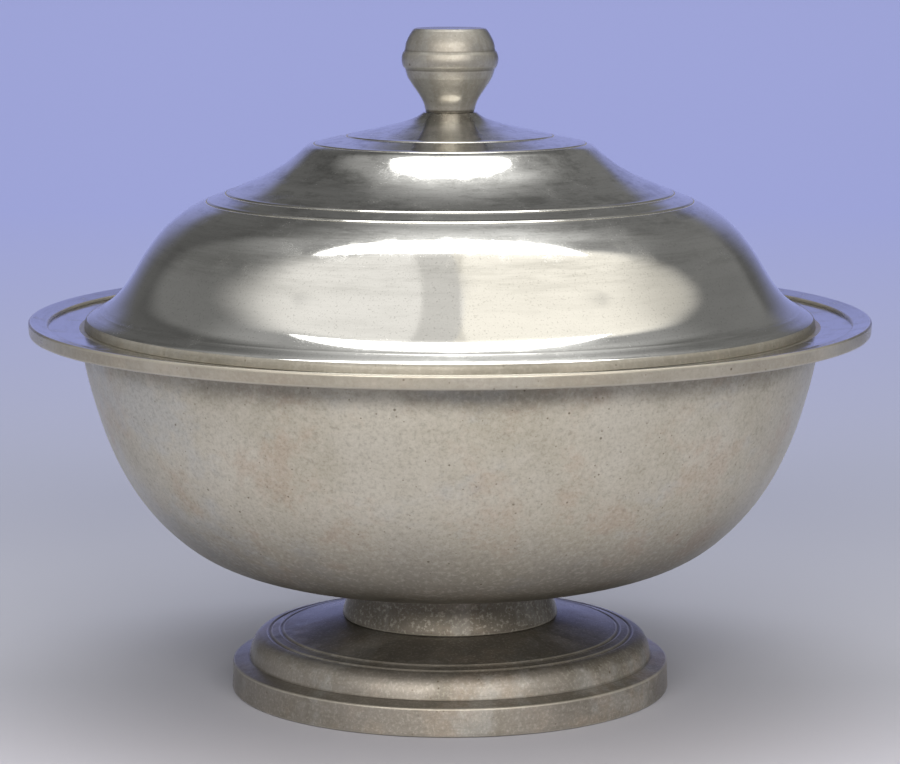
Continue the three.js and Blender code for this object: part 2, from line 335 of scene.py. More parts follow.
collar_base = cone_height(collar_foot) + seam
collar_corners = [
    [bore, cone_height(bore) + seam], [collar_foot, collar_base], [collar_foot - 0.2, collar_base + 2.0],
    [collar_top + 0.6, collar_base + 6.5],
    [collar_top, under_bowl(collar_top)], [collar_top - collar_wall, under_bowl(collar_top - collar_wall)]]
collar_line = eased(collar_corners, [0.3, 0.9, 1.0, 3.0, 0.3, 0.3], closed=True)
collar = turned("collar_turned", rows(collar_line, 70), 192, closed=True, uneven=0.05, seed=4)
place(collar, "dish", "foot_collar", "satin_pewter")

# %% [markdown]
# ## The bowl
# The brim was turned out flat from the same piece of metal as the bowl, and the mouth is
# thick where the cover's ring drops in. Inside and outside are the same template curve, a
# wall apart, so that the wall is even, as spun metal is.

# %% The brim's outline
mouth_radius, lip_height = 113.8, 5.0
brim_radius, brim_thickness, brim_rise = 133.35, 1.8, 0.9
brim_edge = brim_radius - 3.0


def brim_top(radius):
    """The brim's upper side rises in proportion from the bowl's wall to its edge."""
    way_out = np.maximum(radius - bowl_radius, 0) / (brim_radius - bowl_radius)
    return bowl_depth + brim_thickness + brim_rise * way_out


brim_corners = np.array([
    [bowl_radius + 0.15, brim_top(bowl_radius) - brim_thickness - 0.6],
    [bowl_radius + 1.4, brim_top(bowl_radius + 1.4) - brim_thickness],
    [brim_edge, brim_top(brim_edge) - brim_thickness], [brim_edge, brim_top(brim_edge)],
    [bowl_radius, brim_top(bowl_radius)], [mouth_radius, brim_top(mouth_radius)],
    [mouth_radius, brim_top(mouth_radius) - lip_height],
])
brim_cuts = [0.8, 0.8, 0.2, 0.2, 0.5, 0.6, 0.8]
print("the brim's flat is", round(brim_edge - mouth_radius, 1), "mm wide")

# %% Bowl
wall_inside = beside(bowl_outside, bowl_wall)
lip_foot = brim_top(mouth_radius) - lip_height - 1
wall_inside = wall_inside[(wall_inside[:, 1] < lip_foot) & (wall_inside[:, 0] > 0.3)]
outer, wall = bowl_outside[::4], np.vstack([wall_inside[::-4], [[0, bowl_wall]]])
cuts = np.r_[np.full(len(outer), 0.8), brim_cuts, np.full(len(wall), 0.8)]
bowl_line = eased(np.vstack([outer, brim_corners, wall]), cuts, steps=5) + [0, bowl_level]
bowl = turned("bowl_spun", rows(bowl_line, 250), 256, uneven=0.12, seed=5)
place(bowl, "dish", "bowl", "satin_pewter")

# %% [markdown]
# ## The border of the brim
# A thick ring is soldered over the edge of the brim. It stiffens the edge and gives the
# hand something to hold. Its inner side is a low step and its outer side is nearly upright,
# and that upright side is the bright line that runs round the whole dish.

# %% Border
border_width, border_height = 6.2, 4.45
inner, top = brim_radius - border_width, bowl_depth + border_height
solder = 0.03
border_corners = [
    [brim_edge + 0.1, bowl_depth], [brim_radius - 0.3, bowl_depth], [brim_radius, top - 0.5],
    [brim_radius - 0.5, top], [inner, brim_top(inner) + 1.0], [inner, brim_top(inner) + solder],
    [brim_edge + 0.1, brim_top(brim_edge) + solder]]
border_line = eased(border_corners, [0.2, 0.8, 0.4, 0.4, 0.5, 0.1, 0.1], closed=True) + [0, bowl_level]
border = turned("brim_border", rows(border_line, 90), 256, closed=True, uneven=0.05, seed=6)
place(border, "dish", "brim_ring", "bright_pewter")

# %% [markdown]
# ## The cover
# The cover is a stepped dome: a low neck round the knob, a skirt that falls away, a
# broad shoulder and a flare that ends in a rounded flange. Polished metal shows every
# fault of its outline, so this outline is drawn by slope. Two pairs of rings are scored,
# and one fine ring stands up beside the flange. The cover rests on the flange's edge.

# %% The cover's outline
lid_radius, lid_rise, lid_wall, crown_radius, crown_wall = 116.6, 66.7, 1.6, 11.5, 4.0
lid_level = bowl_level + brim_top(mouth_radius) + 0.3
slopes = [
    [0, -41.9], [2, -31.7], [4.5, -20.7], [8, -14.8], [14, -12.8], [22, -12.0], [30, -12.8], [35.2, -12.4],
    [37.4, -20], [39.4, -41.5], [43, -40.7], [48, -34.7], [53, -27.5], [60, -23.3], [68, -20.4],
    [76, -24.2], [84, -34.1], [92, -47], [99, -55], [105, -59.7], [109.5, -58.1], [113, -53.3],
    [116.5, -48.5], [119.8, -39.5], [124.6, -29], [125.6, -26.5], [126.7, -27], [127.3, -30.5], [128.6, -40],
    [129.2, -60], [129.9, -80], [131.6, -88],
]
peak = np.array([8.4, lid_rise])
lid_outside = sloping(peak, slopes)
print("the cover's outline ends at", lid_outside[-1].round(2), "against", lid_radius)

# %% Cover
screw_hole, seat_drop = 2.4, 0.2
flange_inside = lid_radius - 7.6
lid_inside = beside(sloping(peak, slopes, soften=9.0), -lid_wall)
radius, rise = lid_inside.T
lid_inside = lid_inside[(radius > crown_radius) & (radius < flange_inside) & (rise < lid_rise - crown_wall)]
lid_shell = scored(lid_outside, [32.6, 43.0, 70.9, 77.0], depth=0.22, width=0.65, lip=0.05)
lid_shell = scored(lid_shell, [110.9], depth=-0.07, width=0.7, lip=0.0)
hole_foot = [screw_hole, lid_rise - crown_wall]
underside = eased(np.vstack([[hole_foot], lid_inside[::8], [[flange_inside, 0]]]), 0.6)[:-1]
seat = eased([[flange_inside, 0], [mouth_radius + 0.5, 0], [mouth_radius + 1.1, -seat_drop],
              [lid_outside[-1, 0], -seat_drop], lid_outside[-3]], 0.35)
hole = [[screw_hole, lid_rise], hole_foot]
lid_line = np.vstack([underside, seat, lid_shell[-4::-1], hole]) + [0, lid_level]
lid = turned("cover_dome", rows(lid_line, 330), 288, closed=True, uneven=0.10, seed=7)
place(lid, "cover", "lid", "bright_pewter")

# %% [markdown]
# ## The bezel
# The bezel is a plain ring soldered under the flange, which drops into the mouth with a
# millimetre of play and keeps the cover from sliding. Its lower edge is bevelled so that
# it finds the mouth by itself.

# %% Bezel
bezel_out, bezel_depth, bezel_wall, bevel = mouth_radius - 1.0, 7, 1.8, 0.8
bezel_in = bezel_out - bezel_wall
bezel_corners = [
    [bezel_in, -bezel_depth], [bezel_out - bevel, -bezel_depth], [bezel_out, bevel - bezel_depth],
    [bezel_out, -0.05], [bezel_in, -0.05]]
bezel_line = eased(bezel_corners, 0.35, closed=True) + [0, lid_level]
bezel = turned("cover_bezel", rows(bezel_line, 60), 240, closed=True, uneven=0.05, seed=8)
place(bezel, "cover", "lid_bezel", "bright_pewter")

# %% [markdown]
# ## The knob
# The knob is a solid casting, turned afterwards: a waisted neck, a belt with a bevel above
# and below it, and a flat top. The neck and the crown are template curves, and the belt is
# a row of corners between them, because its edges were left crisp for the fingers.

# %% Knob
knob_radius, knob_height, hole_depth = 15.25, 26.3, 13.0
knob_level = lid_level + lid_rise + 0.1
neck = np.array([
    [0.5, 0], [0.512, 0.03], [0.533, 0.08], [0.598, 0.167], [0.69, 0.25], [0.79, 0.335], [0.885, 0.425]])
crown = np.array([[0.93, 0.748], [0.915, 0.81], [0.858, 0.893], [0.773, 0.975]])
lower = through(neck * [knob_radius, knob_height], 40)
upper = through(crown * [knob_radius, knob_height], 24)
belt = [[14.0, 12.9], [14.05, 13.4], [14.9, 14.4], [15.25, 16.0], [15.25, 17.0], [14.95, 18.5], [14.3, 19.35]]
hole = [[0, hole_depth], [screw_hole, hole_depth], [screw_hole, 0]]
flat_top = [[11.0, knob_height], [9.6, knob_height - 0.12], [0, knob_height - 0.2]]
knob_line = eased(np.vstack([hole, lower[:-1], belt, upper[1:], flat_top]), 0.4) + [0, knob_level]
knob = turned("knob_cast", rows(knob_line, 190, 3.0), 160, uneven=0.05, seed=9)
place(knob, "cover", "knob", "cast_pewter")

# %% [markdown]
# ## Washer and screw
# A brass screw holds the knob from inside the dome, over a washer that spares the soft
# pewter. Both are plain turned pieces, and they show only when the cover is turned over.

# %% Washer and screw
washer_radius, washer_height = 7, 0.9
washer_top = lid_level + lid_rise - crown_wall - 0.05
washer_corners = [
    [screw_hole, -washer_height], [washer_radius, -washer_height], [washer_radius, 0], [screw_hole, 0]]
washer_line = eased(washer_corners, 0.2, closed=True) + [0, washer_top]
washer = turned("washer_brass", rows(washer_line, 40), 96, closed=True)
place(washer, "cover", "knob_washer", "brass")
shank, head_radius, head_height = 2.1, 4.2, 2.4
head, tip = washer_top - washer_height - 0.05, knob_level + 11.5
screw_corners = [
    [0, head - head_height], [head_radius - 0.5, head - head_height], [head_radius, head - head_height + 0.5],
    [head_radius, head], [shank, head], [shank, tip - 0.5], [shank - 0.5, tip], [0, tip]]
screw = turned("screw_brass", rows(eased(screw_corners, 0.25), 90, 2.0), 72)
place(screw, "cover", "knob_screw", "brass")

# %% [markdown]
# ## Colours and nodes
# A finish in Blender is a small network of nodes. One function adds a node with its settings
# and links, and gives the output that the next node needs. Another turns a colour, written
# as it would be read off a card, into linear light. Every pattern lies in object
# coordinates, whose unit is the metre, so a pattern's size is its real size on the metal.

# %% Colours and nodes
def linear(hex_code):
    """An sRGB hex colour in linear light: c / 12.92 up to 0.04045, else ((c + 0.055) / 1.055)^2.4."""
    c = np.array([int(hex_code[k:k + 2], 16) for k in (0, 2, 4)]) / 255
    return (*np.where(c <= 0.04045, c / 12.92, ((c + 0.055) / 1.055) ** 2.4), 1.0)


def add(tree, kind, output=0, inputs=None, **settings):
    """Adds one node and gives one of its outputs. Inputs are values or links, by socket, and
    settings are the node's own properties."""
    node = tree.nodes.new(kind)
    for name, value in settings.items():
        setattr(node, name, value)
    for socket, value in (inputs or {}).items():
        if isinstance(value, bpy.types.NodeSocket):
            tree.links.new(value, node.inputs[socket])
        else:
            node.inputs[socket].default_value = value
    return node.outputs[output] if node.outputs else node


def finish_for(name, pieces):
    """The empty network of a new material, which is put on the pieces."""
    material = bpy.data.materials.new(name)
    material.use_nodes = True
    material.node_tree.nodes.clear()
    for piece in pieces:
        piece.data.materials.append(material)
    print(f"{name} goes on", ", ".join(piece.name for piece in pieces))
    return material.node_tree


print("pale pewter E2E1DC in linear light:", np.round(linear("E2E1DC")[:3], 3))

# %% [markdown]
# ## Masks and layers
# Old metal is read in layers: a bare skin, tarnish on it, dirt in the hollows and bright
# edges where hands rub. A layer is a colour and a mask, and a mask is made of soft steps,
# because nothing on old metal ends in a hard line. The same masks change the roughness.

# %% Masks and layers
def share(tree, *steps):
    """How far values have passed from low to high, soft at both ends: with t the share of the
    way, 3t^2 - 2t^3. The steps, each (value, low, high), are multiplied together."""
    product = 1.0
    for value, low, high in steps:
        step = add(tree, "ShaderNodeMapRange", "Result", {
            "Value": value, "From Min": low, "From Max": high}, interpolation_type="SMOOTHSTEP")
        product = add(tree, "ShaderNodeMath", "Value", {0: step, 1: product}, operation="MULTIPLY")
    return product


def layered(tree, colour, layers):
    """A colour with others over it in turn, each (hex code, strength, mask)."""
    for hex_code, strength, mask in layers:
        fac = add(tree, "ShaderNodeMath", "Value", {0: mask, 1: strength}, operation="MULTIPLY")
        colour = add(tree, "ShaderNodeMix", 2, {
            "Factor": fac, 6: colour, 7: linear(hex_code)}, data_type="RGBA")
    return colour


def summed(tree, value, parts):
    """A value to which each (mask, by) adds mask x by."""
    for mask, by in parts:
        value = add(tree, "ShaderNodeMath", "Value", {0: mask, 1: by, 2: value}, operation="MULTIPLY_ADD")
    return value


quarter = 0.25
print("a quarter of the way along, a soft step has risen to", round(3 * quarter**2 - 2 * quarter**3, 3))

# %% [markdown]
# ## Patterns on turned metal
# Noise gives clouds of tarnish at any size. A lathe draws everything out into streaks
# that run round the piece, so one kind of noise is laid in the lathe's own space: the
# angle round the axis, and the way along the outline. Cast and hammered pewter also has
# pits, and they come in crowds, as bubbles do in the melt.

# %% Patterns on turned metal
def clouds(tree, patterns):
    """Noise for each named pattern of (place, size of its largest clouds in mm, detail, roughness)."""
    return {
        name: add(tree, "ShaderNodeTexNoise", "Fac", {
            "Vector": place, "Scale": 1000 / size, "Detail": detail, "Roughness": rough})
        for name, (place, size, detail, rough) in patterns.items()}


def lathe_space(tree, where, stretch):
    """A place as the lathe sees it: the direction from the axis, on a circle of 60 mm, and
    above it the way along the outline times a stretch."""
    level = add(tree, "ShaderNodeVectorMath", "Vector", {0: where, 1: (1.0, 1.0, 0.0)}, operation="MULTIPLY")
    way = add(tree, "ShaderNodeVectorMath", "Vector", {0: level}, operation="NORMALIZE")
    along = add(tree, "ShaderNodeAttribute", "Fac", attribute_name="along")
    lift = add(tree, "ShaderNodeCombineXYZ", "Vector", {"Z": summed(tree, 0.0, [(along, stretch)])})
    circle = (0.06, 0.06, 0.06)
    return add(tree, "ShaderNodeVectorMath", "Vector", {0: way, 1: circle, 2: lift}, operation="MULTIPLY_ADD")


def pits(tree, where, cell, part, reach):
    """Small round hollows: one in each cell of so many mm, for that part of the cells. Its
    reach is in cells, and a cell's random colour decides its size."""
    cells = add(tree, "ShaderNodeTexVoronoi", "Color", {"Vector": where, "Scale": 1000 / cell})
    lot = add(tree, "ShaderNodeSeparateXYZ", "X", {"Vector": cells})
    size = summed(tree, 0.0, [(share(tree, (lot, 1.0 - part, 1.0)), reach)])
    depth = summed(tree, size, [(cells.node.outputs["Distance"], -1.0)])
    return share(tree, (depth, 0.0, 0.3 * reach))


print("pits of 0.15 of a cell of 3.1 mm are up to", round(2 * 0.15 * 3.1, 1), "mm across")


# %% [markdown]
# ## Satin pewter
# Pewter left as it came off the scraper goes satin grey with washing. The eye finds large
# clouds of brown and of bluish grey, a fine salt-and-pepper grain from the mould, and pits.
# Dark bands by height are real dirt at the knob's joint and painted shade on the bowl and
# the foot, and edges and hollows carry a painted highlight and painted shade. At a glancing
# angle even a satin skin begins to shine, so the roughness falls there, as the facing of the
# surface says. The real grain is finer than a picture of the whole dish can hold, so it is
# drawn coarser here, to be seen.

# %% Satin pewter
def satin(name, pieces, clean, tarnish, roughness, metal, dirt_and_shade=(), ragged=0.02,
          streaks=0.0, creases=1.0, mottle=1.0, patches=1.0, grit=1.0):
    """Satin pewter between a clean and a tarnished grey. Each dark band, used both for real dirt
    and for painted shade, is (strength, start, end): it grows between two heights in metres,
    along a ragged edge. The other values are the strengths of the marks, and the size of the grit."""
    tree = finish_for(name, pieces)
    where = add(tree, "ShaderNodeTexCoord", "Object")
    height = add(tree, "ShaderNodeSeparateXYZ", "Z", {"Vector": where})
    crease = add(tree, "ShaderNodeAttribute", "Fac", attribute_name="crease")
    facing = add(tree, "ShaderNodeLayerWeight", "Facing", {"Blend": 0.5})
    seen = clouds(tree, {
        "cloud": (where, 38, 5.0, 0.65), "brown": (where, 21, 5.0, 0.7), "crowd": (where, 26, 2.0, 0.5),
        "bluish": (lathe_space(tree, where, 0.8), 31, 5.0, 0.7),
        "streak": (lathe_space(tree, where, 9.0), 9, 4.0, 0.7),
        "spots": (where, 1.5 * grit, 2.0, 0.6), "grain": (where, 0.8 * grit, 3.0, 0.75)})
    pit = summed(tree, 0.0, [(pits(tree, where, 3.1, 0.6, 0.15), share(tree, (seen["crowd"], 0.38, 0.55)))])
    # In the colour, hollows get painted shade and edges a painted highlight; edges are also smoother.
    shaded_dull_hollow, worn_highlit_edge = share(tree, (crease, -0.05, -0.8)), share(tree, (crease, 0.15, 1.2))
    level = summed(tree, height, [(seen["cloud"], ragged)])
    # Dark bands by height: real dirt at the knob's joint, painted shade on the bowl and foot.
    dirt_and_shade_layers = [("544F46", strength, share(tree, (level, start + ragged / 2, end + ragged / 2)))
             for strength, start, end in dirt_and_shade]
    colour = layered(tree, linear(clean), [
        (tarnish, 1.0, share(tree, (seen["cloud"], 0.35, 0.68))),
        ("B3A292", 0.5 * patches, share(tree, (seen["brown"], 0.5, 0.66))),
        ("BDBFBF", 0.6 * patches, share(tree, (seen["bluish"], 0.5, 0.64))),
        ("6E675C", streaks, share(tree, (seen["streak"], 0.5, 0.75))),
        *dirt_and_shade_layers,
        ("D9D5CC", 0.2 * mottle, share(tree, (seen["spots"], 0.5, 0.68))),
        ("79736A", 0.22 * mottle, share(tree, (seen["spots"], 0.46, 0.3))),
        ("6E685D", 0.25 * mottle, share(tree, (seen["grain"], 0.45, 0.7))),
        ("584A38", 0.5, pits(tree, where, 1.9, 0.3, 0.18)),
        ("52452F", 0.65, pit), ("4E483E", creases, shaded_dull_hollow), ("C9C4B8", creases, worn_highlit_edge)])
    skin = summed(tree, metal, [
        (share(tree, (seen["brown"], 0.35, 0.7)), -0.15), (share(tree, (facing, 0.4, 0.9)), 1.0 - metal)])
    rough = summed(tree, roughness - 0.05, [
        (share(tree, (seen["cloud"], 0.3, 0.7)), 0.13), (worn_highlit_edge, -0.12 * creases),
        (share(tree, (facing, 0.5, 0.95)), -0.25)])
    relief = summed(tree, seen["grain"], [(pit, -1.2)])
    bump = add(tree, "ShaderNodeBump", "Normal", {"Height": relief, "Strength": 0.55, "Distance": 0.00012})
    shader = add(tree, "ShaderNodeBsdfPrincipled", "BSDF", {
        "Base Color": colour, "Metallic": skin, "Roughness": rough, "Normal": bump})
    add(tree, "ShaderNodeOutputMaterial", inputs={"Surface": shader})


# %% [markdown]
# ## Six skins of the same metal
# The bowl is the palest, with painted shade that darkens it towards the bottom and a painted
# shadow under the brim. The foot and its collar are darker, and speckled, with painted shade
# on the cone and the collar under the bowl. The border and the edge of the cover are worn
# smooth by hands. The knob is harder cast metal, half polished, with a dark joint at its foot.

# %% Six skins of the same metal
# Large soft clouds and pits, painted shade on the lower bowl, a painted shadow under the brim.
satin("satin_pewter", [bowl], "C6C2B7", "B8B3A6", 0.6, 0.7, dirt_and_shade=[(0.78, 0.078, 0.036), (0.36, 0.1045, 0.1135)])
# Darker, with streaks of the lathe, and painted shade on the cone, which lies under the bowl.
satin("dull_pewter", [foot], "96918A", "827D74", 0.53, 0.86, dirt_and_shade=[(0.45, 0.0172, 0.0186)],
      streaks=0.3, creases=0.4, mottle=0.9, patches=0.6, grit=0.6)
# The darkest skin, thickly speckled; its dark tone is painted shade from the bowl above.
satin("speckled_pewter", [collar], "6D6860", "5E5950", 0.5, 0.8, creases=0.3, mottle=1.3, patches=0.3, grit=0.7)
# Worn to an even pale sheen by the hands that carry the dish.
satin("worn_pewter", [border], "B9B4A8", "A39D91", 0.45, 0.85, creases=0.5, mottle=0.5, patches=0.3)
# A duller edge than the dome above it, which the buff did not reach.
satin("flange_pewter", [lid], "9A968D", "88847A", 0.55, 0.75, creases=0.3, mottle=0.5, patches=0.3)
# Harder cast metal with a tight highlight on the belt, and a dark joint at its foot.
joint = knob_level / 1000
satin("cast_pewter", [knob], "A9A7A2", "938F87", 0.44, 0.93, dirt_and_shade=[(0.9, joint + 0.0012, joint + 0.0004)],
      ragged=0.0, creases=0.4, mottle=0.6, patches=0.3, grit=0.7)

# %% [markdown]
# ## Polished pewter and brass
# The cover was buffed bright. It mirrors the room, and its faults are those of a mirror: a
# smoky bloom on the upper half, fine specks where the polish has broken, dull hollows that
# the buff missed, and a brown neck under the knob. The hollows are also darkened as painted
# shade, and edges get a faint painted highlight. The panel between shoulder and flare is
# the cleanest, so the wear is told by the distance from the axis. The brim had the same
# polish and has lost more of it, and the brass inside the cover has hardly any.

# %% Polished pewter and brass
def polished(name, pieces, clean, tarnish, roughness, brown_neck=0.0):
    """Polished metal between a clean and a tarnished colour, with a neck browned so far."""
    tree = finish_for(name, pieces)
    where = add(tree, "ShaderNodeTexCoord", "Object")
    crease = add(tree, "ShaderNodeAttribute", "Fac", attribute_name="crease")
    level = add(tree, "ShaderNodeVectorMath", "Vector", {0: where, 1: (1.0, 1.0, 0.0)}, operation="MULTIPLY")
    radius = add(tree, "ShaderNodeVectorMath", "Value", {0: level}, operation="LENGTH")
    seen = clouds(tree, {
        "cloud": (lathe_space(tree, where, 5.0), 34, 6.0, 0.7),
        "streak": (lathe_space(tree, where, 14.0), 15, 4.0, 0.7),
        "smoke": (lathe_space(tree, where, 2.2), 17, 6.0, 0.75),
        "haze": (where, 12, 5.0, 0.7), "veil": (where, 9, 4.0, 0.6), "grain": (where, 0.6, 2.0, 0.6)})
    outer_worn = share(tree, (radius, 0.108, 0.110))
    worn = summed(tree, 1.0, [(share(tree, (radius, 0.094, 0.100)), -0.75)])
    worn = add(tree, "ShaderNodeMath", "Value", {0: worn, 1: outer_worn}, operation="MAXIMUM")
    smoky = summed(tree, 1.0, [(share(tree, (radius, 0.080, 0.088)), -0.85)])
    marks = {
        name: summed(tree, 0.0, [(share(tree, (seen[name], low, high)), place)])
        for name, low, high, place in [
            ("cloud", 0.42, 0.7, worn), ("streak", 0.5, 0.7, worn), ("smoke", 0.47, 0.66, smoky),
            ("veil", 0.46, 0.68, worn)]}
    speck, stain = share(tree, (seen["grain"], 0.6, 0.76)), share(tree, (seen["grain"], 0.42, 0.3))
    # In the colour, hollows get painted shade and edges a faint painted highlight; hollows are also rougher.
    shaded_dull_hollow, worn_highlit_edge = share(tree, (crease, -0.05, -0.8)), share(tree, (crease, 0.2, 1.2))
    neck = share(tree, (summed(tree, radius, [(seen["haze"], 0.012)]), 0.024, 0.014))
    colour = layered(tree, linear(clean), [
        (tarnish, 0.5, marks["cloud"]), ("7C7B72", 0.15, marks["streak"]), ("6C6C66", 0.42, marks["smoke"]),
        ("6F6D64", 0.25, stain), ("6B6251", brown_neck, neck), ("B0AC9F", 1.0, shaded_dull_hollow), ("E2DED2", 1.0, worn_highlit_edge)])
    rough = summed(tree, roughness, [
        (marks["cloud"], 0.04), (marks["veil"], 0.12), (speck, 0.16), (neck, 0.25 * brown_neck), (shaded_dull_hollow, 0.4)])
    bump = add(tree, "ShaderNodeBump", "Normal", {
        "Height": seen["grain"], "Strength": 0.035, "Distance": 0.0001})
    shader = add(tree, "ShaderNodeBsdfPrincipled", "BSDF", {
        "Base Color": colour, "Metallic": 1.0, "Roughness": rough, "Normal": bump})
    add(tree, "ShaderNodeOutputMaterial", inputs={"Surface": shader})


# A bright mirror with bloom, specks and a brown neck under the knob.
polished("polished_pewter", [lid, bezel], "E2E1DC", "A9A8A2", 0.045, brown_neck=0.5)
# The same mirror gone greyer, which blurs what it shows.
polished("dulled_pewter", [bowl, border], "C9C8C4", "97958F", 0.1)
# A warm yellow sheen with browned hollows.
polished("brass", [washer, screw], "C9A45A", "9A7A3C", 0.3)

# %% [markdown]
# ## Where satin and polish meet
# A polisher works on a piece, not on a material: the brim's upper side was buffed and the
# bowl below it was not. So three pieces carry both finishes, and each face takes the one
# that belongs to its place, found from the radius and height of its middle.

# %% Where satin and polish meet
def middles(piece):
    """The radius, which is the root of x^2 + y^2, and the height of each face's middle, in mm."""
    centres = np.zeros(len(piece.data.polygons) * 3)
    piece.data.polygons.foreach_get("center", centres)
    x, y, z = centres.reshape(-1, 3).T * 1000
    return np.hypot(x, y), z


def polish_where(piece, where):
    """Gives the second finish of a piece to the faces marked, and the first to the rest."""
    piece.data.polygons.foreach_set("material_index", where.astype(np.int32))
    print(f"{piece.name}: {int(where.sum())} of {len(where)} faces are polished")


radius, height = middles(bowl)
polish_where(bowl, (radius > lid_radius + 0.8) & (height > bowl_level + bowl_depth + 1))
radius, height = middles(border)
polish_where(border, (radius < brim_radius - 0.6) & (radius > inner + 0.4))
radius, height = middles(lid)
polish_where(lid, (radius < lid_radius - 1.7) | (height < lid_level + 0.05))

# %% [markdown]
# ## The table
# The dish stands on a broad sheet of pale paper. Its tones are painted light: palest just in
# front of the dish and cooler and darker towards the far end, standing for the warm light
# falling off and the blue light behind. The paper has a slight gloss that shows only at a
# glancing angle, and it carries a soft reflection of the foot. A flat sheet with tones from
# front to back is enough for that, and it keeps the shadow of the dish.

# %% The table
reach, below = 14.0, -0.0001
corners = [(-reach, -reach, below), (reach, -reach, below), (reach, reach, below), (-reach, reach, below)]
table_mesh = bpy.data.meshes.new("table")
table_mesh.from_pydata(corners, [], [(0, 1, 2, 3)])
table = bpy.data.objects.new("table", table_mesh)
bpy.context.collection.objects.link(table)
print("the table is", 2 * reach, "m wide")

# %% Coated paper
tree = finish_for("table_paper", [table])
where = add(tree, "ShaderNodeTexCoord", "Object")
back = add(tree, "ShaderNodeSeparateXYZ", "Y", {"Vector": where})
near_end, far_end = -0.4, 1.6
back = add(tree, "ShaderNodeMapRange", "Result", {"Value": back, "From Min": near_end, "From Max": far_end})
tint = add(tree, "ShaderNodeValToRGB", "Color", {"Fac": back})
# The tones are painted light: palest just in front of the dish, cooler and darker far back.
paper = [(0.0, "B0B0B6"), (0.15, "BCBCC6"), (0.2, "AAACB7"), (0.4, "9DA1B2"), (1.0, "9098C8")]
elements = tint.node.color_ramp.elements
for k, (way_back, colour) in enumerate(paper):
    element = elements[k] if k < 2 else elements.new(1.0)
    element.position, element.color = way_back, linear(colour)
facing = add(tree, "ShaderNodeLayerWeight", "Facing", {"Blend": 0.5})
sheen = summed(tree, 0.0, [(share(tree, (facing, 0.76, 0.96)), 0.5)])
matt = add(tree, "ShaderNodeBsdfDiffuse", "BSDF", {"Color": tint})
gloss = add(tree, "ShaderNodeBsdfGlossy", "BSDF", {"Color": (1, 1, 1, 1), "Roughness": 0.12})
both = add(tree, "ShaderNodeMixShader", "Shader", {0: sheen, 1: matt, 2: gloss})
add(tree, "ShaderNodeOutputMaterial", inputs={"Surface": both})
print("the paper has", len(paper), "tones from front to back")

# %% [markdown]
# ## The directions of the room
# Bright metal shows little but what stands round it, so this room is drawn with care. It
# is told by the direction in which a ray leaves the dish, in degrees: how far round it
# goes, with the camera at 0, how high, how far over the dish from front to back, and how
# far to the side. Each suits one kind of thing, as the way over suits a lamp overhead.

# %% The directions of the room
world = bpy.data.worlds.new("studio")
bpy.context.scene.world = world
world.use_nodes = True
tree = world.node_tree
tree.nodes.clear()
ray = add(tree, "ShaderNodeTexCoord", "Generated")
x, y, z = (add(tree, "ShaderNodeSeparateXYZ", axis, {"Vector": ray}) for axis in "XYZ")
front = summed(tree, 0.0, [(y, -1.0)])
ways = [("ARCTAN2", x, front), ("ARCSINE", z, 0.0), ("ARCTAN2", z, front), ("ARCSINE", x, 0.0)]
azimuth, height, over, side = (
    add(tree, "ShaderNodeMath", "Value", {
        0: add(tree, "ShaderNodeMath", "Value", {0: a, 1: b}, operation=operation)}, operation="DEGREES")
    for operation, a, b in ways)
width = add(tree, "ShaderNodeMath", "Value", {0: azimuth}, operation="ABSOLUTE")
print("the room is told by", len(ways), "angles")

# %% [markdown]
# ## The walls of the room
# Two pale walls meet in front of the dish, the right one lighter and warmer, and behind
# it the room is dim. The cover shows them as two broad panels. They darken low down at the
# sides, and a grey post stands where they meet, which is the upright bar in the middle of
# the cover. A few plain tones do, because metal needs only something pale to show and
# something dark beside it.

# %% The walls of the room
def in_front(light, others):
    """A light with others in front of it in turn, each (mask, light)."""
    for mask, other in others:
        light = add(tree, "ShaderNodeMix", 1, {"Factor": mask, 4: light, 5: other}, data_type="VECTOR")
    return light


def dimmed(light, *factors):
    """A light times each of some factors."""
    for factor in factors:
        light = add(tree, "ShaderNodeVectorMath", "Vector", {0: light, 1: factor}, operation="MULTIPLY")
    return light


dim_back, left_wall, right_wall = (0.4, 0.4, 0.4), (1.05, 1.03, 1.0), (1.25, 1.2, 1.1)
walls = share(tree, (azimuth, -110, -80), (azimuth, 115, 100))
on_right = summed(tree, 0.0, [(walls, share(tree, (azimuth, 5, 9)))])
low_sides = summed(tree, 1.0, [(share(tree, (width, 60, 110), (height, 58, 38)), -0.5)])
post = summed(tree, 1.0, [(share(tree, (side, -8.5, -7.0), (side, 3.5, 2.5), (over, 92, 86)), -0.25)])
upper = dimmed(in_front(dim_back, [(walls, left_wall), (on_right, right_wall)]), low_sides, post)
print("the right wall is lighter than the left by", round(right_wall[0] / left_wall[0], 2))

# %% [markdown]
# ## The ceiling and the low part
# The ceiling is pale over the dish and falls dark towards the back, less so on the right.
# Near the level of the table the room is dim in front, lighter at the sides and blue
# behind, and the brim and the flanks of the cover show that. A sill tells where the walls
# begin: it is low at the sides and behind, and higher in front of the dish.

